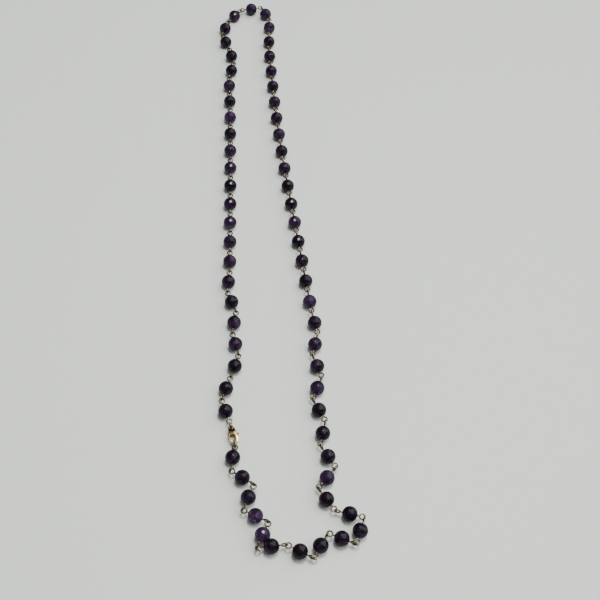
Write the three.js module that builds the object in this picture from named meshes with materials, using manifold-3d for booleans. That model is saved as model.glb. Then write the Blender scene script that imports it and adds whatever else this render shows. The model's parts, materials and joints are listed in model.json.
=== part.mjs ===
// A long necklace of faceted amethyst beads, lying on a flat surface with its clasp fastened.
//
// Each bead sits on its own piece of brass wire, bent into a round eye at both ends, and the eyes
// of neighbouring beads pass through each other. A small lobster clasp closes the loop through two
// wire rings. Millimetres, +Z up, the surface at z = 0 and +Y along the loop's length.

import * as THREE from 'three';
import { ConvexGeometry } from 'three/addons/geometries/ConvexGeometry.js';
import { mergeVertices } from 'three/addons/utils/BufferGeometryUtils.js';
import Module from 'manifold-3d';

const wasm = await Module();
wasm.setup();

// Beads
const BEAD_DIAMETER = 8;          // across the flats of the facets round the bead
const BEAD_SIDES = 10;            // facets round the bead
const BEAD_BAND = 0.34;           // half width of the band round the middle, as a share of the radius
const BEAD_TABLE_AT = 0.93;       // place of the end tables along the axis, as a share of the radius
const BEAD_TABLE_SIZE = 0.48;     // radius of the end tables, as a share of the radius

// Wire eyes
const WIRE_DIAMETER = 0.7;
const EYE_RADIUS = 1.55;          // centre line of an eye
const NECK_LENGTH = 0.6;          // straight wire between a bead and its eye
const EYE_SIDES = 10;             // straight stretches round an eye
const WIRE_SIDES = 5;             // sides of the wire's section
const BITE = 0.16;                // how far the wires of two eyes press together where they hang
const CLEARANCE = 0.3;            // free space between pieces that move against each other
const LINKED_LENGTH = 246;        // string beside the clasp whose eyes are modelled one by one
const CORE_DIAMETER = 1.4;        // plain wire that stands for the eyes on the other beads
const CORE_SIDES = 6;

// Clasp
const CLASP_LENGTH = 12;
const CLASP_HALF_WIDTH = 2.7;
const CLASP_THICKNESS = 3;        // at its thickest, over the pivot
const CLASP_MIDDLE_Z = 2.2;        // height of its middle plane above the surface
const HOOK_DIAMETER = 1.5;        // bar at the end of the hook
const HOOK_CORNERS = 1.3;         // how far its corners stand from its middle, in its radii
const BAIL_BAR = 0.8;             // bar round the bail's hole
const BAIL_THICKNESS = 1.4;
const BAIL_HOLE_RADIUS = 0.9;
const OUTLINE_STEPS = 36;
const PIVOT = { along: 4.3, across: -0.1 };
const PIN_RADIUS = 0.4;
const HUB_RADIUS = 1.3;
const LEVER_THICKNESS = 1;
const GATE_REACH = 4.5;           // from the pivot to the end of the gate
const LEVER_SWING = 22;           // degrees that the gate opens inwards
const TAB_HALF_WIDTH = 0.45;
const THUMB_RADIUS = 0.6;
const THUMB_AHEAD = 1.1;          // how far the thumb tab's end lies past the pivot
const THUMB_PROUD = 0.2;          // how far it stands outside the clasp's back
const RING_RADIUS_BAIL = 1.9;     // centre lines of the two rings
const RING_RADIUS_HOOK = 2.1;
const RING_SIDES = 12;
const END_EYE_Z = 2.6;            // the eyes beside the clasp hang lower than the beads' middles

// Half widths of the clasp from the bail, at 0, to the hook's end, at 1, as shares of its own
const CLASP_OUTLINE = [
  { at: 0.0, width: 0.0 },
  { at: 0.03, width: 0.36 },
  { at: 0.14, width: 0.63 },
  { at: 0.27, width: 0.74 },
  { at: 0.42, width: 0.93 },
  { at: 0.56, width: 1.0 },
  { at: 0.72, width: 0.97 },
  { at: 0.87, width: 0.72 },
  { at: 0.97, width: 0.33 },
  { at: 1.0, width: 0.0 },
];

// The clasp's thickness seen from its side, between the bail and the hook: each row says where,
// as a share of the way from the bail's hole to the opening's end, and how thick, from the thinner
// end, at 0, to the full thickness, at 1
const CLASP_SIDE = [
  { at: 0.06, rise: 0.0 },
  { at: 0.14, rise: 0.25 },
  { at: 0.25, rise: 0.85 },
  { at: 0.33, rise: 1.0 },
  { at: 0.47, rise: 1.0 },
  { at: 0.62, rise: 0.85 },
  { at: 0.8, rise: 0.45 },
  { at: 1.0, rise: 0.0 },
];

// Its thickness across, from the middle line, at 0, to its sides, at 1, as shares of the whole
const CLASP_SECTION = [
  { at: 1.1, height: 0.68 },
  { at: 0.9, height: 0.86 },
  { at: 0.55, height: 0.97 },
  { at: 0.25, height: 1.0 },
];

// The opening inside the claw, from its top, at 0, to the hook's bar, at 1. The back of the clasp
// is the thick side.
const OPENING_TOP = 5.5;
const OPENING_OUTLINE = [
  { at: 0.0, gate: 0.0, back: 0.0 },
  { at: 0.1, gate: 0.34, back: 0.24 },
  { at: 0.4, gate: 0.63, back: 0.43 },
  { at: 0.7, gate: 0.6, back: 0.46 },
  { at: 0.93, gate: 0.28, back: 0.26 },
  { at: 1.0, gate: 0.0, back: 0.0 },
];

// The gate, from the hub to its tip: shares of its reach, and the directions of its two edges from
// the pivot in degrees. The body is cut away between the two angles of the gap.
const GATE_OUTLINE = [
  { reach: 0.2, outer: -108, inner: -20 },
  { reach: 0.4, outer: -96, inner: -60 },
  { reach: 0.62, outer: -69, inner: -49 },
  { reach: 0.82, outer: -50, inner: -35 },
  { reach: 1.0, outer: -37, inner: -25 },
];
const GATE_GAP = { from: -118, to: -12 };

// The string's route: places of the joints between beads, seen from above, from the hook's ring
// down the left, round the crumpled near end, up the right, over the far end and back to the bail
const ROUTE = [
  [-22.5, -151], [-24.5, -166.5], [-11.5, -174.5], [-17.5, -189], [-3.5, -195.5], [-9.5, -209.5],
  [5.5, -207.5], [19.5, -214.5], [26.5, -201], [40.5, -207], [45, -192], [30, -188.5],
  [21.5, -175.5], [31, -164], [23, -151], [26, -135.5], [19, -122], [24.5, -107.5], [19, -93],
  [22.5, -78.5], [19, -63.5], [14.5, -33], [10, -2.5], [1, 58.5], [-4.5, 105], [-10, 166.5],
  [-10, 197.5], [-16, 211.5], [-31, 208.5], [-40, 196], [-43.5, 181], [-38, 166.5], [-34, 151.5],
  [-37, 136.5], [-35, 105.5], [-32.5, 44], [-30, -33], [-31, -48.5], [-25, -62.5], [-27, -78],
  [-22.5, -92.5], [-26.5, -107.5], [-31.5, -122], [-26, -136],
];

// Sizes that follow
const beadRadius = BEAD_DIAMETER / 2;
const wireRadius = WIRE_DIAMETER / 2;
const coreRadius = CORE_DIAMETER / 2;
const hookRadius = HOOK_DIAMETER / 2;
const unitLength = BEAD_DIAMETER + 2 * NECK_LENGTH + 4 * EYE_RADIUS;
const heldReach = wireRadius - BITE / 2;
const looseReach = wireRadius + CLEARANCE;
const linkedBeads = Math.round(LINKED_LENGTH / unitLength);
const claspReach = CLASP_LENGTH - BAIL_BAR / 2 - hookRadius;
const openingEnd = claspReach - hookRadius;
const slotHeight = LEVER_THICKNESS + 2 * CLEARANCE;
const up = new THREE.Vector3(0, 0, 1);

const finishes = {
  amethyst: { color: 0x2c1440, roughness: 0.12, metalness: 0.0 },
  brassWire: { color: 0x8a6a3c, roughness: 0.35, metalness: 1.0 },
  gold: { color: 0xd9a95a, roughness: 0.2, metalness: 1.0 },
};

// Solids

function solid(geometry, matrix = new THREE.Matrix4()) {
  const bare = geometry.clone().applyMatrix4(matrix);
  bare.deleteAttribute('normal');
  bare.deleteAttribute('uv');
  const merged = mergeVertices(bare, 1e-4);
  return new wasm.Manifold(new wasm.Mesh({
    numProp: 3,
    vertProperties: new Float32Array(merged.attributes.position.array),
    triVerts: new Uint32Array(merged.index.array),
  }));
}

function joined(solids) {
  if (solids.length === 1) return solids[0];
  const half = Math.ceil(solids.length / 2);
  return joined(solids.slice(0, half)).add(joined(solids.slice(half)));
}

function piece(name, body, finish) {
  const mesh = body.getMesh();
  const geometry = new THREE.BufferGeometry();
  geometry.setAttribute('position', new THREE.BufferAttribute(mesh.vertProperties, 3));
  geometry.setIndex(new THREE.BufferAttribute(mesh.triVerts, 1));
  geometry.computeVertexNormals();
  const result = new THREE.Mesh(geometry, new THREE.MeshStandardMaterial(finish));
  result.name = name;
  return result;
}

// A frame at a place, with its z axis along one direction and its y axis near another
function frameAt(place, along, side) {
  const z = along.clone().normalize();
  const x = new THREE.Vector3().crossVectors(side, z).normalize();
  const y = new THREE.Vector3().crossVectors(z, x);
  return new THREE.Matrix4().makeBasis(x, y, z).setPosition(place);
}

function rod(from, to, radius, sides) {
  const length = from.distanceTo(to);
  const shape = new THREE.CylinderGeometry(radius, radius, length, sides).rotateX(Math.PI / 2);
  const middle = from.clone().lerp(to, 0.5);
  return solid(shape, frameAt(middle, to.clone().sub(from), up));
}

function wireRing(centre, radius, sides, normal, side) {
  const shape = new THREE.TorusGeometry(radius, wireRadius, WIRE_SIDES, sides);
  return solid(shape, frameAt(centre, normal, side));
}

// The string's route

function walkRoute(route, count) {
  const legs = route.slice(1).map((point, i) => point.distanceTo(route[i]));
  const step = legs.reduce((sum, leg) => sum + leg, 0) / count;
  const joints = [];
  let leg = 0;
  let walked = 0;
  for (let i = 0; i <= count; i += 1) {
    while (leg < legs.length - 1 && walked + legs[leg] < i * step) {
      walked += legs[leg];
      leg += 1;
    }
    const share = Math.min(1, (i * step - walked) / legs[leg]);
    joints.push(route[leg].clone().lerp(route[leg + 1], share));
  }
  return joints;
}

// Moves the joints until each lies one unit from the next, with the two ends held where they are
function evenOut(joints, length, passes = 2000) {
  const last = joints.length - 1;
  for (let pass = 0; pass < passes; pass += 1) {
    for (let i = 0; i < last; i += 1) {
      const apart = joints[i + 1].clone().sub(joints[i]);
      const excess = (apart.length() - length) / apart.length();
      const near = i === 0 ? 0 : i === last - 1 ? 1 : 0.5;
      joints[i].addScaledVector(apart, excess * near);
      joints[i + 1].addScaledVector(apart, -excess * (1 - near));
    }
  }
  return joints;
}

// The clasp's rings: how far along the clasp each holds what it passes through

function ringReach(ringRadius, heldRadius, heldZ) {
  const free = ringRadius * Math.cos(Math.PI / RING_SIDES) - wireRadius - CLEARANCE - heldRadius;
  return Math.sqrt(Math.max(0, free ** 2 - (ringRadius + wireRadius - heldZ) ** 2));
}

const bailGrip = ringReach(RING_RADIUS_BAIL, Math.hypot(BAIL_BAR, BAIL_THICKNESS) / 2, CLASP_MIDDLE_Z);
const hookGrip = ringReach(RING_RADIUS_HOOK, HOOK_CORNERS * hookRadius, CLASP_MIDDLE_Z);
const bailEyeGrip = ringReach(RING_RADIUS_BAIL, wireRadius, END_EYE_Z);
const hookEyeGrip = ringReach(RING_RADIUS_HOOK, wireRadius, END_EYE_Z);

const routeStart = new THREE.Vector3(...ROUTE[0], 0);
const routeEnd = new THREE.Vector3(...ROUTE[ROUTE.length - 1], 0);
const claspAlong = routeStart.clone().sub(routeEnd).normalize();
const claspSide = new THREE.Vector3().crossVectors(up, claspAlong);
const ringsAndClasp = 2 * wireRadius + bailEyeGrip + bailGrip + claspReach + hookGrip + hookEyeGrip;

// Places along the clasp's middle line, from the eye of the last bead
const endJoint = routeStart.clone().lerp(routeEnd, 0.5).addScaledVector(claspAlong, -ringsAndClasp / 2);
const alongClasp = (distance, z) => endJoint.clone().addScaledVector(claspAlong, distance).setZ(z);
const bailRingAt = wireRadius + bailEyeGrip;
const claspAt = bailRingAt + bailGrip;
const hookRingAt = claspAt + claspReach + hookGrip;
const startJointAt = hookRingAt + hookEyeGrip + wireRadius;

// Beads on their wires

const route = ROUTE.map(([x, y]) => new THREE.Vector3(x, y, 0));
route[0] = alongClasp(startJointAt, 0);
route[route.length - 1] = alongClasp(0, 0);
const routeLength = route.slice(1).reduce((sum, point, i) => sum + point.distanceTo(route[i]), 0);
const beadCount = Math.round(routeLength / unitLength);
const joints = evenOut(walkRoute(route, beadCount), unitLength);
joints.forEach((joint, i) => joint.setZ(i === 0 || i === beadCount ? END_EYE_Z : beadRadius));

const bead = (() => {
  const corner = beadRadius / Math.cos(Math.PI / BEAD_SIDES);
  const rows = [
    { at: -BEAD_TABLE_AT, radius: BEAD_TABLE_SIZE * beadRadius, turn: 0 },
    { at: -BEAD_BAND, radius: corner, turn: 0.5 },
    { at: BEAD_BAND, radius: corner, turn: 0.5 },
    { at: BEAD_TABLE_AT, radius: BEAD_TABLE_SIZE * beadRadius, turn: 0 },
  ];
  const points = rows.flatMap(({ at, radius, turn }) => Array.from({ length: BEAD_SIDES }, (_, i) => {
    const angle = ((i + turn) * 2 * Math.PI) / BEAD_SIDES + Math.PI / 2;
    return new THREE.Vector3(radius * Math.cos(angle), radius * Math.sin(angle), at * beadRadius);
  }));
  return new ConvexGeometry(points);
})();

function beadMiddle(i) {
  return joints[i].clone().lerp(joints[i + 1], 0.5).setZ(beadRadius);
}

function beadSolid(i) {
  const along = joints[i + 1].clone().sub(joints[i]).setZ(0);
  return solid(bead, frameAt(beadMiddle(i), along, up));
}

// An eye that reaches past a joint by the given distance, flat or standing on edge
function eye(middle, joint, reach, flat) {
  const out = joint.clone().sub(middle).normalize();
  const level = new THREE.Vector3().crossVectors(up, out).normalize();
  const normal = flat ? new THREE.Vector3().crossVectors(out, level) : level;
  const centre = joint.clone().addScaledVector(out, reach - EYE_RADIUS);
  const neckFrom = middle.clone().addScaledVector(out, BEAD_TABLE_AT * beadRadius - wireRadius);
  const neckTo = centre.clone().addScaledVector(out, -EYE_RADIUS);
  return [
    wireRing(centre, EYE_RADIUS, EYE_SIDES, normal, out),
    rod(neckFrom, neckTo, wireRadius, WIRE_SIDES),
  ];
}

function linkedBead(i) {
  const middle = beadMiddle(i);
  const first = i === 0;
  const last = i === linkedBeads - 1;
  return joined([
    beadSolid(i),
    ...eye(middle, joints[i], first ? wireRadius : heldReach, true),
    ...eye(middle, joints[i + 1], last ? looseReach : heldReach, false),
  ]);
}

// Plain wire through the middles of the far beads, bent at each joint
function core(places) {
  const section = new THREE.Shape();
  section.absarc(0, 0, coreRadius, 0, 2 * Math.PI);
  const path = new THREE.CurvePath();
  places.slice(1).forEach((place, i) => path.add(new THREE.LineCurve3(places[i], place)));
  return solid(new THREE.ExtrudeGeometry(section, {
    steps: places.length - 1,
    extrudePath: path,
    curveSegments: CORE_SIDES / 2,
  }));
}

const beadNumbers = Array.from({ length: beadCount }, (_, i) => i);
const nearString = joined(beadNumbers.slice(0, linkedBeads).map(linkedBead));
const lastBead = beadCount - 1;
const farString = joined([
  ...beadNumbers.slice(linkedBeads).map(beadSolid),
  ...eye(beadMiddle(linkedBeads), joints[linkedBeads], looseReach, true),
  core([beadMiddle(linkedBeads), ...joints.slice(linkedBeads + 1, beadCount), beadMiddle(lastBead)]),
  ...eye(beadMiddle(lastBead), joints[beadCount], wireRadius, true),
]);

// Clasp, in its own frame: x along it from the bail's bar, y towards its back, z from its middle

function outlinePoints(rows, smooth) {
  const left = rows.map(([x, near]) => new THREE.Vector2(x, -near));
  const right = rows.map(([x, , far]) => new THREE.Vector2(x, far)).slice(1, -1).reverse();
  return new THREE.SplineCurve([...left, ...right, left[0]]).getPoints(smooth).slice(0, -1);
}

// A plate lying across z = 0
function plate(shape, thickness) {
  const geometry = new THREE.ExtrudeGeometry(shape, {
    depth: thickness,
    bevelEnabled: false,
    curveSegments: EYE_SIDES,
  });
  return geometry.translate(0, 0, -thickness / 2);
}

// The clasp's thickness as two solids to cut it with: one seen from the side, one from the end
function sideProfile() {
  const from = BAIL_BAR / 2 + BAIL_HOLE_RADIUS;
  const top = CLASP_SIDE.map(({ at, rise }, i) => {
    const thin = i < CLASP_SIDE.length / 2 ? BAIL_THICKNESS : HOOK_DIAMETER;
    const thickness = THREE.MathUtils.lerp(thin, CLASP_THICKNESS, rise);
    return new THREE.Vector2(THREE.MathUtils.lerp(from, openingEnd, at), thickness / 2);
  });
  top.unshift(new THREE.Vector2(-CLASP_LENGTH, BAIL_THICKNESS / 2));
  top.push(new THREE.Vector2(2 * CLASP_LENGTH, hookRadius));
  const bottom = top.map(({ x, y }) => new THREE.Vector2(x, -y)).reverse();
  return solid(plate(new THREE.Shape([...top, ...bottom]), 4 * CLASP_HALF_WIDTH).rotateX(Math.PI / 2));
}

function endProfile() {
  const corner = ({ at, height }, side, face) => new THREE.Vector2(
    (face * height * CLASP_THICKNESS) / 2,
    side * at * CLASP_HALF_WIDTH,
  );
  const inwards = [...CLASP_SECTION].reverse();
  const shape = new THREE.Shape([
    ...CLASP_SECTION.map((row) => corner(row, 1, 1)),
    ...inwards.map((row) => corner(row, -1, 1)),
    ...CLASP_SECTION.map((row) => corner(row, -1, -1)),
    ...inwards.map((row) => corner(row, 1, -1)),
  ]);
  return solid(plate(shape, 4 * CLASP_LENGTH).rotateY(Math.PI / 2));
}

function disc(x, y, radius, height) {
  const shape = new THREE.CylinderGeometry(radius, radius, height, 2 * EYE_SIDES).rotateX(Math.PI / 2);
  return solid(shape, new THREE.Matrix4().setPosition(x, y, 0));
}

// A slice of a disc round the pivot, between two angles in degrees
function sweep(inner, outer, from, to, height) {
  const { degToRad } = THREE.MathUtils;
  const shape = new THREE.Shape();
  shape.absarc(PIVOT.along, PIVOT.across, outer, degToRad(from), degToRad(to), false);
  shape.absarc(PIVOT.along, PIVOT.across, inner, degToRad(to), degToRad(from), true);
  return solid(plate(shape, height));
}

const thumb = new THREE.Vector2(PIVOT.along + THUMB_AHEAD, CLASP_HALF_WIDTH + THUMB_PROUD);
const pivot = new THREE.Vector2(PIVOT.along, PIVOT.across);
const thumbAngle = THREE.MathUtils.radToDeg(thumb.clone().sub(pivot).angle());

// A place in the clasp's plane, by its distance and angle from the pivot, and a step to one side
function fromPivot(distance, angle, aside = 0) {
  const turn = THREE.MathUtils.degToRad(angle);
  const out = new THREE.Vector2(Math.cos(turn), Math.sin(turn));
  const left = new THREE.Vector2(-out.y, out.x);
  return pivot.clone().addScaledVector(out, distance).addScaledVector(left, aside);
}

function claspBody() {
  const outer = CLASP_OUTLINE.map(({ at, width }) => {
    const half = width * CLASP_HALF_WIDTH;
    return [at * CLASP_LENGTH - BAIL_BAR / 2, half, half];
  });
  const inner = OPENING_OUTLINE.map(({ at, gate, back }) => [
    OPENING_TOP + at * (openingEnd - OPENING_TOP),
    gate * CLASP_HALF_WIDTH,
    back * CLASP_HALF_WIDTH,
  ]);
  const shape = new THREE.Shape(outlinePoints(outer, OUTLINE_STEPS));
  shape.holes.push(new THREE.Path(outlinePoints(inner, OUTLINE_STEPS / 2)));
  const bail = new THREE.Path();
  bail.absarc(BAIL_BAR / 2 + BAIL_HOLE_RADIUS, 0, BAIL_HOLE_RADIUS, 0, 2 * Math.PI);
  shape.holes.push(bail);
  const claw = solid(plate(shape, CLASP_THICKNESS)).intersect(sideProfile()).intersect(endProfile());
  const gateGap = sweep(HUB_RADIUS, GATE_REACH + CLEARANCE, GATE_GAP.from, GATE_GAP.to,
    2 * CLASP_THICKNESS);
  const hubSlot = disc(PIVOT.along, PIVOT.across, HUB_RADIUS + CLEARANCE, slotHeight);
  const slotSide = TAB_HALF_WIDTH + CLEARANCE;
  const thumbSlot = solid(plate(new THREE.Shape([
    fromPivot(0, thumbAngle, -slotSide),
    fromPivot(2 * CLASP_HALF_WIDTH, thumbAngle, -slotSide),
    fromPivot(2 * CLASP_HALF_WIDTH, thumbAngle + LEVER_SWING, slotSide),
    fromPivot(0, thumbAngle + LEVER_SWING, slotSide),
  ]), slotHeight));
  const pin = disc(PIVOT.along, PIVOT.across, PIN_RADIUS, (CLASP_THICKNESS + slotHeight) / 2);
  return claw.subtract(gateGap).subtract(hubSlot).subtract(thumbSlot).add(pin);
}

function claspLever() {
  const outerEdge = GATE_OUTLINE.map(({ reach, outer }) => fromPivot(reach * GATE_REACH, outer));
  const innerEdge = GATE_OUTLINE.map(({ reach, inner }) => fromPivot(reach * GATE_REACH, inner)).reverse();
  const gateShape = new THREE.Shape([
    ...new THREE.SplineCurve(outerEdge).getPoints(EYE_SIDES),
    ...new THREE.SplineCurve(innerEdge).getPoints(EYE_SIDES),
  ]);
  const tabLength = thumb.distanceTo(pivot);
  const tabShape = new THREE.Shape([
    fromPivot(0, thumbAngle, -TAB_HALF_WIDTH),
    fromPivot(tabLength, thumbAngle, -TAB_HALF_WIDTH),
    fromPivot(tabLength, thumbAngle, TAB_HALF_WIDTH),
    fromPivot(0, thumbAngle, TAB_HALF_WIDTH),
  ]);
  const hub = disc(PIVOT.along, PIVOT.across, HUB_RADIUS, LEVER_THICKNESS);
  const knob = disc(thumb.x, thumb.y, THUMB_RADIUS, LEVER_THICKNESS);
  const bore = disc(PIVOT.along, PIVOT.across, PIN_RADIUS + CLEARANCE, 2 * LEVER_THICKNESS);
  const gate = solid(plate(gateShape, LEVER_THICKNESS));
  const tab = solid(plate(tabShape, LEVER_THICKNESS));
  return joined([hub, gate, tab, knob]).subtract(bore);
}

const clasp = new THREE.Group();
clasp.add(piece('clasp_body', claspBody(), finishes.gold));
clasp.add(piece('clasp_lever', claspLever(), finishes.gold));
clasp.position.copy(alongClasp(claspAt, CLASP_MIDDLE_Z));
clasp.rotation.z = Math.atan2(claspAlong.y, claspAlong.x);

// Rings standing on edge, one through the bail and one through the hook
function claspRing(distance, radius) {
  return wireRing(alongClasp(distance, radius + wireRadius), radius, RING_SIDES, claspSide, up);
}

const necklace = new THREE.Group();
necklace.add(piece('bead_string_near', nearString, finishes.amethyst));
necklace.add(piece('bead_string_far', farString, finishes.amethyst));
necklace.add(clasp);
necklace.add(piece('bail_ring', claspRing(bailRingAt, RING_RADIUS_BAIL), finishes.brassWire));
necklace.add(piece('hook_ring', claspRing(hookRingAt, RING_RADIUS_HOOK), finishes.brassWire));

// The origin is on the surface, under the middle of the whole loop
const extent = new THREE.Box3().setFromObject(necklace, true);
const middle = extent.getCenter(new THREE.Vector3());
necklace.position.set(-middle.x, -middle.y, -extent.min.z);

export default necklace;
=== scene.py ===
"""Looks of the amethyst bead necklace: faceted beads, wire eyes, rings, clasp, table and light."""

import json
import math
import random
from itertools import combinations

import bmesh
import bpy
import numpy as np
from mathutils import Matrix, Quaternion, Vector


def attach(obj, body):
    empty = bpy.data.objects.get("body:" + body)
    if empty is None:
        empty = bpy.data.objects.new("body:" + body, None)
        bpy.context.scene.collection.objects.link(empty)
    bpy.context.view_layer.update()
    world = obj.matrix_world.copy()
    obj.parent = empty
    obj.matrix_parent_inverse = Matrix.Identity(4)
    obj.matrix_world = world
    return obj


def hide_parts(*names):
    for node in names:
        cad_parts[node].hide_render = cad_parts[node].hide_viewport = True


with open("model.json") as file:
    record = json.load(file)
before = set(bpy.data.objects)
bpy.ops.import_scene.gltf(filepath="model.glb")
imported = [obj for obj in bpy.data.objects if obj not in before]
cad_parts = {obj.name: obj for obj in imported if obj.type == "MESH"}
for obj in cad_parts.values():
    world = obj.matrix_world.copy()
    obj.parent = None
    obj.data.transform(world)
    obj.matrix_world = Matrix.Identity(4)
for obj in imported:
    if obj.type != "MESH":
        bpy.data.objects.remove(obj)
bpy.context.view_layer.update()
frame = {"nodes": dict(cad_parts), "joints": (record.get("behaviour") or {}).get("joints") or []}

MM = 0.001
UP = Vector((0, 0, 1))

# Sizes of a bead, in millimetres
BEAD_RADIUS = 4.0
FACET_DEPTH = BEAD_RADIUS
FACET_EDGE = 0.07
HOLE_RADIUS = 0.55
HOLE_RIM = 0.12
HOLE_DEPTH = 0.7
CORNER_WELD = 0.02

# Facets less than this many degrees apart count as one, and a sum under TINY counts as nought
FLAT_ANGLE = 1.0
TINY = 1e-6

# Rows of facets from a bead's middle to its ends: latitude in degrees, number of facets, and
# the row's turn as a share of one facet
FACET_ROWS = ((0.0, 18, 0.0), (21.0, 18, 0.5), (41.0, 14, 0.0), (59.0, 10, 0.5), (75.0, 6, 0.0))

# Sizes of the wire and its eyes, in millimetres. The wire looks thicker here than in the solids,
# but the outsides of eyes and rings are the same
WIRE_RADIUS = 0.35
WIRE_LOOK_RADIUS = 0.43
EXTRA_WIRE = WIRE_LOOK_RADIUS - WIRE_RADIUS
EYE_RADIUS = 1.55
EYE_LOOK_RADIUS = EYE_RADIUS - EXTRA_WIRE
EYE_PRESS = 0.02
NECK_LENGTH = 0.6
WIRE_TAIL = 1.0
END_EYE_Z = 2.6
UNIT_LENGTH = 2 * BEAD_RADIUS + 2 * NECK_LENGTH + 4 * EYE_RADIUS

# Sizes of the clasp and its rings, in millimetres, but for the corners of the hook's section, which
# are in its radii, and the number of sides of the solids' rings
CLASP_LENGTH = 12.0
CLASP_MIDDLE_Z = 2.2
HOOK_RADIUS = 0.75
HOOK_CORNERS = 1.3
BAIL_BAR = 0.8
BAIL_THICKNESS = 1.4
PIVOT_ALONG = 4.3
PIVOT_ACROSS = -0.1
RING_RADIUS_BAIL = 1.9
RING_RADIUS_HOOK = 2.1
RING_SIDES = 12
RING_GAP = 0.3
RING_NECK = 0.0001
CLASP_VOXEL = 0.06
CLASP_WELD = 0.001

# How many steps eyes and rings are drawn in, and how wide their cuts are, in radians
EYE_STEPS = 30
EYE_WIRE_STEPS = 10
EYE_OPENING = 0.22
RING_STEPS = 64
RING_WIRE_STEPS = 16
RING_OPENING = 0.07

# Tones of the beads: most near ones are darker, and a few, counted from 0, stand out as paler
NEAR_BEADS = 18
NEAR_TONES = (0.10, 0.48)
FAR_TONES = (0.24, 0.60)
PALE_BEADS = {3: 0.74, 4: 0.64, 12: 0.62, 20: 0.66, 24: 0.62, 46: 0.64}
PLAIN_TONE = 0.5
TONE_SEED = 11
SPIN_SEED = 3

# A facet's painted light, as if shining out through the bead: most of it comes by facing this way,
# off from the window, the rest is a tone by chance
PAINTED_LIGHT_WAY = (-0.5, -0.6, -0.62)
PAINTED_LIGHT_FROM = -1.0
PAINTED_LIGHT_FULL = 0.8
PAINTED_LIGHT_PART = 0.6
CHANCE_TONE_PART = 0.4

# Places of the joints between beads, seen from above: from the hook's ring down the left, round
# the crumpled near end, up the right, over the far end and back to the clasp's bail
ROUTE = (
    (-22.5, -151), (-24.5, -166.5), (-11.5, -174.5), (-17.5, -189), (-3.5, -195.5), (-9.5, -209.5),
    (5.5, -207.5), (19.5, -214.5), (26.5, -201), (40.5, -207), (45, -192), (30, -188.5),
    (21.5, -175.5), (31, -164), (23, -151), (26, -135.5), (19, -122), (24.5, -107.5), (19, -93),
    (22.5, -78.5), (19, -63.5), (14.5, -33), (10, -2.5), (1, 58.5), (-4.5, 105), (-10, 166.5),
    (-10, 197.5), (-16, 211.5), (-31, 208.5), (-40, 196), (-43.5, 181), (-38, 166.5), (-34, 151.5),
    (-37, 136.5), (-35, 105.5), (-32.5, 44), (-30, -33), (-31, -48.5), (-25, -62.5), (-27, -78),
    (-22.5, -92.5), (-26.5, -107.5), (-31.5, -122), (-26, -136),
)

# Where the camera stands on the route's axes, its lens and its sensor, in millimetres, its tilt in
# degrees, and how near and far it sees, in metres
CAMERA_PLACE = (12.12, -433.26, 520.0)
CAMERA_LENS = 65.34
CAMERA_SENSOR = 36
CAMERA_DOWN = 53.7
CAMERA_NEAR = 0.01
CAMERA_FAR = 20

# Half the side of the table's square, and the places of the lights, in metres
TABLE_REACH = 12.0
WINDOW_PLACE = (0.8, 0.35, 1.0)
LAMP_PLACE = (0.12, 0.02, 0.9)


# The string's route

def ring_reach(ring_radius, held_radius, held_z):
    """Level distance from a ring's middle to what it holds at a given height."""
    free = ring_radius * math.cos(math.pi / RING_SIDES) - WIRE_RADIUS - RING_GAP - held_radius
    drop = ring_radius + WIRE_RADIUS - held_z
    return math.sqrt(max(0.0, free ** 2 - drop ** 2))


def walk_route(route, count):
    """Places at even steps along the chosen points."""
    legs = [(b - a).length for a, b in zip(route, route[1:])]
    step = sum(legs) / count
    places, leg, walked = [], 0, 0.0
    for i in range(count + 1):
        while leg < len(legs) - 1 and walked + legs[leg] < i * step:
            walked += legs[leg]
            leg += 1
        share = min(1.0, (i * step - walked) / legs[leg])
        places.append(route[leg].lerp(route[leg + 1], share))
    return places


def even_out(places, length, passes=2000):
    """Moves the joints until each lies one unit from the next, with the two ends held."""
    spots = [[p.x, p.y] for p in places]
    last = len(spots) - 1
    for _ in range(passes):
        for i in range(last):
            ax, ay = spots[i]
            bx, by = spots[i + 1]
            dx, dy = bx - ax, by - ay
            apart = math.hypot(dx, dy)
            excess = (apart - length) / apart
            near = 0.0 if i == 0 else 1.0 if i == last - 1 else 0.5
            spots[i] = [ax + dx * excess * near, ay + dy * excess * near]
            spots[i + 1] = [bx - dx * excess * (1 - near), by - dy * excess * (1 - near)]
    return [Vector((x, y, BEAD_RADIUS)) for x, y in spots]


bail_grip = ring_reach(RING_RADIUS_BAIL, math.hypot(BAIL_BAR, BAIL_THICKNESS) / 2, CLASP_MIDDLE_Z)
hook_grip = ring_reach(RING_RADIUS_HOOK, HOOK_CORNERS * HOOK_RADIUS, CLASP_MIDDLE_Z)
bail_eye_grip = ring_reach(RING_RADIUS_BAIL, WIRE_RADIUS, END_EYE_Z)
hook_eye_grip = ring_reach(RING_RADIUS_HOOK, WIRE_RADIUS, END_EYE_Z)
clasp_reach = CLASP_LENGTH - BAIL_BAR / 2 - HOOK_RADIUS

route = [Vector((x, y, 0)) for x, y in ROUTE]
clasp_along = (route[0] - route[-1]).normalized()
clasp_side = UP.cross(clasp_along)
rings_and_clasp = (2 * WIRE_RADIUS + bail_eye_grip + bail_grip + clasp_reach
                   + hook_grip + hook_eye_grip)
end_joint = route[0].lerp(route[-1], 0.5) - clasp_along * (rings_and_clasp / 2)
bail_ring_at = WIRE_RADIUS + bail_eye_grip
clasp_at = bail_ring_at + bail_grip
hook_ring_at = clasp_at + clasp_reach + hook_grip
start_joint_at = hook_ring_at + hook_eye_grip + WIRE_RADIUS

route[0] = end_joint + clasp_along * start_joint_at
route[-1] = end_joint.copy()
route_length = sum((b - a).length for a, b in zip(route, route[1:]))
bead_count = round(route_length / UNIT_LENGTH)
joints = even_out(walk_route(route, bead_count), UNIT_LENGTH)
joints[0].z = joints[-1].z = END_EYE_Z

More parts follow.
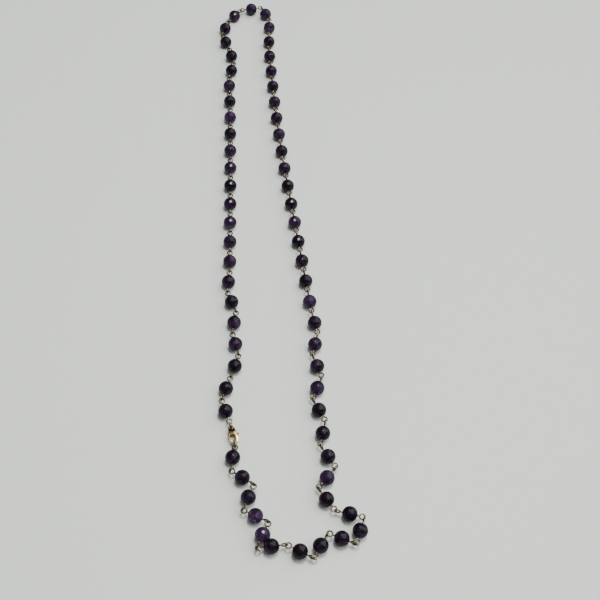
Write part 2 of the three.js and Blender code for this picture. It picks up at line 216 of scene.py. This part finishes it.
# The solids are centred on their own box, so the route moves by what their pivot moved
pivot_here = end_joint + clasp_along * (clasp_at + PIVOT_ALONG) + clasp_side * PIVOT_ACROSS
pivot_there = Vector(frame["joints"][0]["pos_m"]) / MM
shift = Vector((pivot_there.x - pivot_here.x, pivot_there.y - pivot_here.y, 0))


def placed(point):
    """A place on the route, in metres in the frame of the solids."""
    return (point + shift) * MM


def bead_middle(i):
    """Halfway between a bead's two joints, at the height where it rests on the table."""
    middle = joints[i].lerp(joints[i + 1], 0.5)
    middle.z = BEAD_RADIUS
    return middle


# Camera

def viewing_camera():
    """The camera at the photograph's height, tilt and lens."""
    optics = bpy.data.cameras.new("camera")
    optics.lens = CAMERA_LENS
    optics.sensor_width = CAMERA_SENSOR
    optics.clip_start = CAMERA_NEAR
    optics.clip_end = CAMERA_FAR
    camera = bpy.data.objects.new("camera", optics)
    camera.location = placed(Vector(CAMERA_PLACE))
    camera.rotation_euler = (math.radians(90 - CAMERA_DOWN), 0, 0)
    bpy.context.scene.collection.objects.link(camera)
    bpy.context.scene.camera = camera


viewing_camera()


# Shader groups and materials

class Nodes:
    """Short calls for building one node tree."""

    def __init__(self, tree):
        self.tree = tree

    def add(self, kind, values=None, **settings):
        """A node with its settings, whose inputs get values or links."""
        node = self.tree.nodes.new(kind)
        for key, value in settings.items():
            setattr(node, key, value)
        for key, value in (values or {}).items():
            if isinstance(value, bpy.types.NodeSocket):
                self.tree.links.new(value, node.inputs[key])
            else:
                node.inputs[key].default_value = value
        return node

    def mix(self, share, low, high):
        """One colour blended into another by a share."""
        node = self.add("ShaderNodeMix", {0: share, 6: low, 7: high}, data_type="RGBA")
        return node.outputs[2]

    def span(self, value, low, high, to_low=0.0, to_high=1.0):
        """A value's rise from low to high, softened at both ends."""
        node = self.add("ShaderNodeMapRange", {
            "Value": value, "From Min": low, "From Max": high,
            "To Min": to_low, "To Max": to_high,
        }, interpolation_type="SMOOTHSTEP")
        return node.outputs["Result"]


def shader_group(name, inputs, outputs):
    """A new shader group with its sockets, and the way to build in it."""
    tree = bpy.data.node_groups.new(name, "ShaderNodeTree")
    for label, kind, value in inputs:
        socket = tree.interface.new_socket(name=label, in_out="INPUT", socket_type=kind)
        socket.default_value = value
    for label, kind in outputs:
        tree.interface.new_socket(name=label, in_out="OUTPUT", socket_type=kind)
    build = Nodes(tree)
    return tree, build, build.add("NodeGroupInput").outputs, build.add("NodeGroupOutput").inputs


COLOR, FLOAT = "NodeSocketColor", "NodeSocketFloat"


def stone_zones_group():
    """Deep violet with paler growth zones, a tone for each bead, and for each facet painted light
    shining out through the bead mixed with a tone by chance.
    """
    tree, build, given, put = shader_group("Stone zones", (
        ("Deep", COLOR, (0.05, 0.012, 0.09, 1)),
        ("Violet", COLOR, (0.2, 0.07, 0.34, 1)),
        ("Pale", COLOR, (0.55, 0.42, 0.7, 1)),
        ("Zone Scale", FLOAT, 260.0),
        ("Tone", FLOAT, 0.5),
        ("Glow", FLOAT, 0.5),
        ("Painted Light Share", FLOAT, 0.6),
    ), (("Color", COLOR), ("Roughness", FLOAT), ("Height", FLOAT)))
    violet_tones = (0.75, 1.35)
    pale_tones = (1.2, 1.55)
    pale_bands = (0.48, 0.62)
    band_turn = (0.5, 0.3, 0.0)
    band_squeeze = (1.0, 1.0, 2.6)
    fine_marks = (0.35, 0.75)
    smoothest, dullest = 0.03, 0.12
    place = build.add("ShaderNodeTexCoord").outputs["Object"]
    cloud = build.add("ShaderNodeTexNoise", {
        "Vector": place, "Scale": given["Zone Scale"], "Detail": 3.0, "Distortion": 0.8})
    bands = build.add("ShaderNodeTexNoise", {
        "Vector": build.add("ShaderNodeMapping", {
            "Vector": place, "Scale": band_squeeze, "Rotation": band_turn}).outputs[0],
        "Scale": given["Zone Scale"], "Detail": 1.0})
    # Painted light: facets facing away from the window are painted lighter, as if light shone out
    # through them
    glow = build.add("ShaderNodeMath", {0: given["Glow"], 1: 0.5}, operation="SUBTRACT")
    facet = build.add("ShaderNodeMath", {
        0: glow.outputs[0], 1: given["Painted Light Share"], 2: given["Tone"]}, operation="MULTIPLY_ADD")
    tone = build.add("ShaderNodeMath", {0: facet.outputs[0], 1: cloud.outputs["Fac"]},
                     operation="ADD")
    violet = build.span(tone.outputs[0], *violet_tones)
    pale = build.add("ShaderNodeMath", {
        0: build.span(tone.outputs[0], *pale_tones),
        1: build.span(bands.outputs["Fac"], *pale_bands)}, operation="MULTIPLY")
    colour = build.mix(violet, given["Deep"], given["Violet"])
    colour = build.mix(pale.outputs[0], colour, given["Pale"])
    tree.links.new(colour, put["Color"])
    fine = build.add("ShaderNodeTexNoise", {"Vector": place, "Scale": 1400.0, "Detail": 2.0})
    rough = build.span(fine.outputs["Fac"], *fine_marks, smoothest, dullest)
    tree.links.new(rough, put["Roughness"])
    tree.links.new(fine.outputs["Fac"], put["Height"])
    return tree


def metal_wear_group():
    """Bright metal with a darker film in patches, and fine drawn scratches."""
    tree, build, given, put = shader_group("Metal wear", (
        ("Bright", COLOR, (0.8, 0.6, 0.3, 1)),
        ("Film", COLOR, (0.2, 0.13, 0.06, 1)),
        ("Film Share", FLOAT, 0.5),
        ("Scale", FLOAT, 900.0),
        ("Smooth", FLOAT, 0.2),
        ("Dull", FLOAT, 0.5),
    ), (("Color", COLOR), ("Roughness", FLOAT), ("Height", FLOAT)))
    patch_blur = 0.12
    scratch_stretch = (1.0, 6.0, 1.0)
    place = build.add("ShaderNodeTexCoord").outputs["Object"]
    patches = build.add("ShaderNodeTexNoise", {
        "Vector": place, "Scale": given["Scale"], "Detail": 5.0, "Roughness": 0.6})
    edge = build.add("ShaderNodeMath", {0: 1.0, 1: given["Film Share"]}, operation="SUBTRACT")
    above = build.add("ShaderNodeMath", {0: patches.outputs["Fac"], 1: edge.outputs[0]},
                      operation="SUBTRACT")
    film = build.span(above.outputs[0], -patch_blur, patch_blur)
    tree.links.new(build.mix(film, given["Bright"], given["Film"]), put["Color"])
    rough = build.add("ShaderNodeMapRange", {
        "Value": film, "To Min": given["Smooth"], "To Max": given["Dull"]})
    tree.links.new(rough.outputs["Result"], put["Roughness"])
    fine = build.add("ShaderNodeTexNoise", {
        "Vector": build.add("ShaderNodeMapping", {
            "Vector": place, "Scale": scratch_stretch}).outputs[0],
        "Scale": 2600.0, "Detail": 2.0})
    tree.links.new(fine.outputs["Fac"], put["Height"])
    return tree


STONE_ZONES = stone_zones_group()
METAL_WEAR = metal_wear_group()


def new_finish(name):
    """A material without nodes, and the way to build in it."""
    finish = bpy.data.materials.new(name)
    finish.use_nodes = True
    finish.node_tree.nodes.clear()
    return finish, Nodes(finish.node_tree)


def material(name, group, group_values, bump, shine):
    """A finish from a group, with its bump's strength and depth. A word names an attribute."""
    finish, build = new_finish(name)
    values = {}
    for key, value in group_values.items():
        if isinstance(value, str):
            value = build.add("ShaderNodeAttribute", attribute_name=value).outputs["Fac"]
        values[key] = value
    effect = build.add("ShaderNodeGroup", values, node_tree=group)
    strength, depth = bump
    relief = build.add("ShaderNodeBump", {
        "Strength": strength, "Distance": depth, "Height": effect.outputs["Height"]})
    shader = build.add("ShaderNodeBsdfPrincipled", {
        "Base Color": effect.outputs["Color"],
        "Roughness": effect.outputs["Roughness"],
        "Normal": relief.outputs[0],
        **shine,
    })
    build.add("ShaderNodeOutputMaterial", {"Surface": shader.outputs[0]})
    return finish


amethyst = material("amethyst", STONE_ZONES, {
    "Deep": (0.0060, 0.0025, 0.0068, 1),
    "Violet": (0.033, 0.012, 0.047, 1),
    "Pale": (0.150, 0.105, 0.200, 1),
    "Zone Scale": 240.0,
    "Tone": "tone",
    # Painted light shining out through each facet, with a tone by chance
    "Glow": "glow",
    "Painted Light Share": 0.62,
}, (0.02, 0.00002), {
    "Metallic": 0.0,
    "IOR": 1.54,
    "Specular IOR Level": 0.0,
    "Coat Weight": 0.3,
    "Coat Roughness": 0.03,
    "Coat IOR": 1.55,
})
brass_wire = material("antique_brass_wire", METAL_WEAR, {
    "Bright": (0.34, 0.27, 0.165, 1),
    "Film": (0.045, 0.036, 0.024, 1),
    "Film Share": 0.56,
    "Scale": 900.0,
    "Smooth": 0.13,
    "Dull": 0.36,
}, (0.15, 0.00003), {"Metallic": 1.0})
gold_plate = material("gold_plate", METAL_WEAR, {
    "Bright": (0.44, 0.295, 0.125, 1),
    "Film": (0.09, 0.056, 0.024, 1),
    "Film Share": 0.46,
    "Scale": 500.0,
    "Smooth": 0.1,
    "Dull": 0.2,
}, (0.05, 0.00003), {"Metallic": 1.0})


# Meshes

def make_object(name, mesh):
    """An object at the origin that wears the mesh."""
    piece = bpy.data.objects.new(name, mesh)
    bpy.context.scene.collection.objects.link(piece)
    return piece


def mesh_of(shape, name):
    """A mesh made from a working shape, which is then let go."""
    mesh = bpy.data.meshes.new(name)
    shape.to_mesh(mesh)
    shape.free()
    return mesh


def facet_normals():
    """Directions of a bead's facets round its hole, row by row on both sides of its middle."""
    normals = [(0.0, 0.0, 1.0), (0.0, 0.0, -1.0)]
    for latitude, count, turn in FACET_ROWS:
        level = math.cos(math.radians(latitude))
        height = math.sin(math.radians(latitude))
        for sign in ((1,) if latitude == 0 else (1, -1)):
            for i in range(count):
                angle = 2 * math.pi * (i + turn) / count
                normals.append((level * math.cos(angle), level * math.sin(angle), sign * height))
    return np.array(normals)


def facet_corners():
    """The places where three facets meet and no other facet cuts them off."""
    normals = facet_normals()
    triples = normals[np.array(list(combinations(range(len(normals)), 3)))]
    solvable = np.abs(np.linalg.det(triples)) > TINY
    depths = np.full((solvable.sum(), 3, 1), FACET_DEPTH)
    corners = np.linalg.solve(triples[solvable], depths)[..., 0]
    inside = (corners @ normals.T <= FACET_DEPTH + TINY).all(axis=1)
    return corners[inside]


def hole_mouth(shape, face):
    """Turns an end facet into the round mouth of the wire's hole."""
    middle = face.calc_center_median()
    bmesh.ops.inset_region(shape, faces=[face], thickness=HOLE_RIM * MM)
    for vert in face.verts:
        flat = Vector((vert.co.x - middle.x, vert.co.y - middle.y, 0)).normalized()
        vert.co = middle + flat * (HOLE_RADIUS * MM)
    pushed = bmesh.ops.extrude_discrete_faces(shape, faces=[face])["faces"][0]
    inward = -math.copysign(HOLE_DEPTH * MM, middle.z)
    for vert in pushed.verts:
        vert.co.z += inward


def face_place(face):
    """Where a face is, to a thousandth of a millimetre."""
    return tuple(round(at / MM, 3) for at in face.calc_center_median())


def settle_order(shape, facet_count):
    """Puts the small faces in order of place, because the hole mouths leave another each time.
    The facets round the bead come last and keep their order, which each facet's tone by chance goes
    by."""
    shape.faces.index_update()
    shape.faces.ensure_lookup_table()
    small = sorted(shape.faces[:-facet_count], key=face_place)
    rank = {face: i for i, face in enumerate(small)}
    shape.faces.sort(key=lambda face: rank.get(face, face.index))


def faceted_bead():
    """One bead round its own z axis: flat facets, a hole's mouth at each end, softened edges."""
    shape = bmesh.new()
    for corner in facet_corners():
        shape.verts.new(Vector(corner) * MM)
    bmesh.ops.remove_doubles(shape, verts=shape.verts[:], dist=CORNER_WELD * MM)
    bmesh.ops.convex_hull(shape, input=shape.verts[:])
    loose = [v for v in shape.verts if not v.link_faces]
    bmesh.ops.delete(shape, geom=loose, context="VERTS")
    bmesh.ops.dissolve_limit(shape, angle_limit=math.radians(FLAT_ANGLE), verts=shape.verts[:],
                             edges=shape.edges[:])
    bmesh.ops.bevel(shape, geom=shape.edges[:], offset=FACET_EDGE * MM, segments=1,
                    affect="EDGES", profile=0.5)
    shape.faces.ensure_lookup_table()
    ends = sorted(shape.faces, key=lambda f: -abs(f.calc_center_median().z))[:2]
    for face in ends:
        hole_mouth(shape, face)
    bmesh.ops.recalc_face_normals(shape, faces=shape.faces[:])
    settle_order(shape, len(facet_normals()) - len(ends))
    return make_object("bead_pattern", mesh_of(shape, "bead_pattern"))


def frame_turn(along, side):
    """The turn that takes z to one direction and y near another."""
    z = along.normalized()
    x = side.cross(z).normalized()
    return Matrix((x, z.cross(x), z)).transposed().to_quaternion()


# Geometry Nodes

def geometry_group(name, inputs):
    """A new tree with its named inputs, and the way to build in it."""
    tree = bpy.data.node_groups.new(name, "GeometryNodeTree")
    tree.interface.new_socket(name="Geometry", in_out="INPUT", socket_type="NodeSocketGeometry")
    for label, kind, value in inputs:
        socket = tree.interface.new_socket(name=label, in_out="INPUT", socket_type=kind)
        if value is not None:
            socket.default_value = value
    tree.interface.new_socket(name="Geometry", in_out="OUTPUT", socket_type="NodeSocketGeometry")
    build = Nodes(tree)
    return tree, build, build.add("NodeGroupInput").outputs, build.add("NodeGroupOutput").inputs


def point_turn(build):
    """The turn that each point carries."""
    turn = build.add("GeometryNodeInputNamedAttribute", {"Name": "turn"}, data_type="QUATERNION")
    return turn.outputs["Attribute"]


def own_spin(build, given, turn):
    """Turns each copy round its own hole by chance."""
    chance = build.add("FunctionNodeRandomValue", {
        "Max": (0.0, 0.0, 2 * math.pi), "Seed": given["Seed"]}, data_type="FLOAT_VECTOR")
    spin = build.add("FunctionNodeEulerToRotation", {0: chance.outputs[0]})
    both = build.add("FunctionNodeRotateRotation", {
        "Rotation": turn, "Rotate By": spin.outputs[0]}, rotation_space="LOCAL")
    return both.outputs[0]


def real_copies(build, given, copy, turn):
    """Copies of one shape at the points, each with its turn, made real."""
    copies = build.add("GeometryNodeInstanceOnPoints", {
        "Points": given["Geometry"], "Instance": copy, "Rotation": turn})
    return build.add("GeometryNodeRealizeInstances", {"Geometry": copies.outputs[0]}).outputs[0]


def dress(tree, build, given, put, shape, smooth):
    """Ends a tree with its shading and its material."""
    shaded = build.add("GeometryNodeSetShadeSmooth", {"Geometry": shape, "Shade Smooth": smooth})
    dressed = build.add("GeometryNodeSetMaterial", {
        "Geometry": shaded.outputs[0], "Material": given["Material"]})
    tree.links.new(dressed.outputs[0], put["Geometry"])
    return tree


def paint_facet_light_and_tone(build, given, shape):
    """Gives each facet painted light, lighter the more it faces away from the light, as if shining
    out through the bead, and a tone by chance.
    """
    facing = build.add("ShaderNodeVectorMath", {
        0: build.add("GeometryNodeInputNormal").outputs[0], 1: PAINTED_LIGHT_WAY}, operation="DOT_PRODUCT")
    chance = build.add("FunctionNodeRandomValue", {"Seed": given["Seed"]}, data_type="FLOAT")
    away = build.add("ShaderNodeMapRange", {
        "Value": facing.outputs["Value"], "From Min": PAINTED_LIGHT_FROM, "From Max": PAINTED_LIGHT_FULL,
        "To Max": PAINTED_LIGHT_PART})
    both = build.add("ShaderNodeMath", {
        0: chance.outputs[1], 1: CHANCE_TONE_PART, 2: away.outputs["Result"]},
        operation="MULTIPLY_ADD")
    kept = build.add("GeometryNodeStoreNamedAttribute", {
        "Geometry": shape, "Name": "glow", "Value": both.outputs[0]},
        data_type="FLOAT", domain="FACE")
    return kept.outputs[0]


def bead_tree():
    """A bead at each point, turned along the string and spun, with painted light and a tone by
    chance on its facets.
    """
    tree, build, given, put = geometry_group("Beads on a string", (
        ("Bead", "NodeSocketObject", None),
        ("Seed", "NodeSocketInt", SPIN_SEED),
        ("Material", "NodeSocketMaterial", None),
    ))
    bead = build.add("GeometryNodeObjectInfo", {"Object": given["Bead"]})
    turn = own_spin(build, given, point_turn(build))
    real = real_copies(build, given, bead.outputs["Geometry"], turn)
    return dress(tree, build, given, put, paint_facet_light_and_tone(build, given, real), False)


def eye_tree():
    """A loop of wire in its own xy plane, open next to its neck, which points to -x."""
    tree, build, given, put = geometry_group("Wire eyes", (
        ("Loop Radius", "NodeSocketFloat", EYE_LOOK_RADIUS * MM),
        ("Wire Radius", "NodeSocketFloat", WIRE_LOOK_RADIUS * MM),
        ("Neck Length", "NodeSocketFloat", (NECK_LENGTH + WIRE_TAIL) * MM),
        ("Opening", "NodeSocketFloat", EYE_OPENING),
        ("Loop Steps", "NodeSocketInt", EYE_STEPS),
        ("Wire Steps", "NodeSocketInt", EYE_WIRE_STEPS),
        ("Material", "NodeSocketMaterial", None),
    ))
    sweep = build.add("ShaderNodeMath", {0: 2 * math.pi, 1: given["Opening"]}, operation="SUBTRACT")
    arc = build.add("GeometryNodeCurveArc", {
        "Resolution": given["Loop Steps"], "Radius": given["Loop Radius"],
        "Start Angle": math.pi, "Sweep Angle": sweep.outputs[0]})
    near = build.add("ShaderNodeMath", {0: given["Loop Radius"], 1: -1.0}, operation="MULTIPLY")
    far = build.add("ShaderNodeMath", {0: near.outputs[0], 1: given["Neck Length"]},
                    operation="SUBTRACT")
    start = build.add("ShaderNodeCombineXYZ", {"X": near.outputs[0]})
    end = build.add("ShaderNodeCombineXYZ", {"X": far.outputs[0]})
    neck = build.add("GeometryNodeCurvePrimitiveLine", {
        "Start": start.outputs[0], "End": end.outputs[0]})
    lines = build.add("GeometryNodeJoinGeometry")
    tree.links.new(arc.outputs["Curve"], lines.inputs[0])
    tree.links.new(neck.outputs["Curve"], lines.inputs[0])
    round_wire = build.add("GeometryNodeCurvePrimitiveCircle", {
        "Resolution": given["Wire Steps"], "Radius": given["Wire Radius"]})
    tube = build.add("GeometryNodeCurveToMesh", {
        "Curve": lines.outputs[0], "Profile Curve": round_wire.outputs["Curve"], "Fill Caps": True})
    real = real_copies(build, given, tube.outputs[0], point_turn(build))
    return dress(tree, build, given, put, real, True)


BEAD_TREE = bead_tree()
EYE_TREE = eye_tree()


def points_with(name, spots):
    """Loose points in metres, each with its turn and its tone."""
    mesh = bpy.data.meshes.new(name)
    mesh.from_pydata([tuple(placed(place)) for place, _, _ in spots], [], [])
    turns = mesh.attributes.new("turn", "QUATERNION", "POINT")
    for item, (_, turn, _) in zip(turns.data, spots):
        item.value = turn
    tones = mesh.attributes.new("tone", "FLOAT", "POINT")
    for item, (_, _, tone) in zip(tones.data, spots):
        item.value = tone
    return make_object(name, mesh)


def grow(name, spots, tree, **values):
    """Runs a tree on the points and returns the plain mesh that it makes."""
    seeds = points_with(f"{name}_points", spots)
    growth = seeds.modifiers.new("growth", "NODES")
    growth.node_group = tree
    for item in tree.interface.items_tree:
        key = item.name.lower().replace(" ", "_")
        if item.in_out == "INPUT" and key in values:
            growth[item.identifier] = values[key]
    graph = bpy.context.evaluated_depsgraph_get()
    mesh = bpy.data.meshes.new_from_object(seeds.evaluated_get(graph), depsgraph=graph)
    mesh.name = name
    bpy.data.objects.remove(seeds)
    if "turn" in mesh.attributes:
        mesh.attributes.remove(mesh.attributes["turn"])
    return make_object(name, mesh)


def wearing(piece, body, slot, *nodes):
    """Attaches a piece to its body and hides the solids that it stands for. The slot is not used.
    """
    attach(piece, body)
    if nodes:
        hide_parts(*nodes)
    return piece


# Beads

def bead_spots():
    """Each bead's middle, its turn along the string, and its tone."""
    tones = random.Random(TONE_SEED)
    spots = []
    for i in range(bead_count):
        along = joints[i + 1] - joints[i]
        along.z = 0
        drawn = tones.uniform(*(NEAR_TONES if i < NEAR_BEADS else FAR_TONES))
        spots.append((bead_middle(i), frame_turn(along, UP), PALE_BEADS.get(i, drawn)))
    return spots


bead_pattern = faceted_bead()
beads = grow("beads", bead_spots(), BEAD_TREE, bead=bead_pattern, material=amethyst)
bpy.data.objects.remove(bead_pattern)
wearing(beads, "necklace", "amethyst", "bead_string_near", "bead_string_far")


# Wire eyes and rings

def eye_spot(middle, joint, reach, flat):
    """Where an eye lies, a reach past its joint: x away from its bead, z across its loop."""
    out = (joint - middle).normalized()
    level = UP.cross(out).normalized()
    normal = out.cross(level) if flat else level
    turn = Matrix((out, normal.cross(out), normal)).transposed().to_quaternion()
    return joint + out * (reach - EYE_LOOK_RADIUS), turn, PLAIN_TONE


def eye_spots():
    """Two eyes for each bead. At a joint one lies flat and holds one that stands on edge."""
    held = WIRE_LOOK_RADIUS - EYE_PRESS
    spots = []
    for i in range(bead_count):
        middle = bead_middle(i)
        first, last = i == 0, i == bead_count - 1
        spots.append(eye_spot(middle, joints[i], WIRE_RADIUS if first else held, True))
        spots.append(eye_spot(middle, joints[i + 1], WIRE_RADIUS if last else held, last))
    return spots


def ring_piece(node, at, radius, cut_turn):
    """A jump ring on edge along the clasp's line, its cut turned away from what it holds."""
    centre = end_joint + clasp_along * at
    centre.z = radius + WIRE_RADIUS
    turn = Matrix((clasp_along, UP, clasp_along.cross(UP))).transposed().to_quaternion()
    turn = turn @ Quaternion((0, 0, 1), cut_turn)
    ring = grow(f"{node}_wire", [(centre, turn, PLAIN_TONE)], EYE_TREE,
                loop_radius=(radius - EXTRA_WIRE) * MM, neck_length=RING_NECK * MM,
                opening=RING_OPENING, loop_steps=RING_STEPS, wire_steps=RING_WIRE_STEPS,
                material=brass_wire)
    return wearing(ring, "necklace", "wire_brass", node)


eyes = grow("wire_eyes", eye_spots(), EYE_TREE, material=brass_wire)
wearing(eyes, "necklace", "wire_brass")
ring_piece("bail_ring", bail_ring_at, RING_RADIUS_BAIL, cut_turn=0.9)
ring_piece("hook_ring", hook_ring_at, RING_RADIUS_HOOK, cut_turn=-1.0)


# Clasp

def polished_copy(node, name, finish, rounds):
    """A copy of a solid, merged, remeshed finely and smoothed until its edges are round."""
    shape = bmesh.new()
    shape.from_mesh(frame["nodes"][node].data)
    bmesh.ops.remove_doubles(shape, verts=shape.verts[:], dist=CLASP_WELD * MM)
    rough = make_object(f"{name}_rough", mesh_of(shape, name))
    fine = rough.modifiers.new("fine", "REMESH")
    fine.mode = "VOXEL"
    fine.voxel_size = CLASP_VOXEL * MM
    fine.use_smooth_shade = True
    soft = rough.modifiers.new("soft", "SMOOTH")
    soft.factor = 0.5
    soft.iterations = rounds
    graph = bpy.context.evaluated_depsgraph_get()
    polished = bpy.data.meshes.new_from_object(rough.evaluated_get(graph), depsgraph=graph)
    polished.name = name
    bpy.data.objects.remove(rough)
    polished.materials.clear()
    polished.materials.append(finish)
    return make_object(name, polished)


shell = polished_copy("clasp_body", "clasp_shell", gold_plate, rounds=40)
wearing(shell, "necklace", "clasp_gold", "clasp_body")
gate = polished_copy("clasp_lever", "clasp_gate", gold_plate, rounds=6)
wearing(gate, "lever", "clasp_gold", "clasp_lever")


# Table and light

def pale_table():
    """A plain pale finish with a faint grain."""
    dark, light = (0.595, 0.63, 0.60, 1), (0.635, 0.67, 0.64, 1)
    finish, build = new_finish("pale_table")
    place = build.add("ShaderNodeTexCoord").outputs["Object"]
    grain = build.add("ShaderNodeTexNoise", {"Vector": place, "Scale": 350.0, "Detail": 3.0})
    colour = build.mix(grain.outputs["Fac"], dark, light)
    relief = build.add("ShaderNodeBump", {
        "Strength": 0.04, "Distance": 0.0001, "Height": grain.outputs["Fac"]})
    shader = build.add("ShaderNodeBsdfPrincipled", {
        "Base Color": colour, "Roughness": 0.55, "Normal": relief.outputs[0]})
    build.add("ShaderNodeOutputMaterial", {"Surface": shader.outputs[0]})
    return finish


def table_top():
    """The plain table, wide enough to reach the horizon."""
    shape = bmesh.new()
    bmesh.ops.create_grid(shape, x_segments=1, y_segments=1, size=TABLE_REACH)
    mesh = mesh_of(shape, "table_top")
    mesh.materials.append(pale_table())
    table = make_object("table_top", mesh)


def aimed(name, lamp, place):
    """Puts a lamp at its place and aims it at the middle of the table."""
    light = bpy.data.objects.new(name, lamp)
    light.location = place
    light.rotation_euler = (-Vector(place)).to_track_quat("-Z", "Y").to_euler()
    bpy.context.scene.collection.objects.link(light)


def window_light():
    """Broad soft daylight from the right and a little from the far side."""
    lamp = bpy.data.lights.new("window", "SUN")
    lamp.angle = math.radians(76)
    lamp.energy = 3.9
    lamp.color = (0.985, 1.0, 0.985)
    aimed("window", lamp, WINDOW_PLACE)


def overhead_lamp():
    """A small lamp overhead that puts a sparkle on some facets and brightens the middle."""
    lamp = bpy.data.lights.new("overhead", "AREA")
    lamp.shape = "DISK"
    lamp.size = 0.22
    lamp.energy = 5.4
    lamp.color = (1.0, 0.985, 0.96)
    aimed("overhead", lamp, LAMP_PLACE)


def room():
    """Pale at the horizon, darker walls above it and a paler ceiling, for the metal to mirror."""
    horizon = (0.56, 0.57, 0.575, 1)
    walls = (0.13, 0.135, 0.14, 1)
    ceiling = (0.75, 0.75, 0.735, 1)
    walls_from, walls_full = 0.02, 0.4
    ceiling_from, ceiling_full = 0.7, 0.98
    world = bpy.data.worlds.new("room")
    bpy.context.scene.world = world
    world.use_nodes = True
    build = Nodes(world.node_tree)
    way = build.add("ShaderNodeTexCoord").outputs["Generated"]
    height = build.add("ShaderNodeSeparateXYZ", {"Vector": way}).outputs["Z"]
    lower = build.mix(build.span(height, walls_from, walls_full), horizon, walls)
    light = build.mix(build.span(height, ceiling_from, ceiling_full), lower, ceiling)
    sky = world.node_tree.nodes["Background"]
    world.node_tree.links.new(light, sky.inputs["Color"])
    sky.inputs["Strength"].default_value = 1.0


table_top()
window_light()
overhead_lamp()
room()
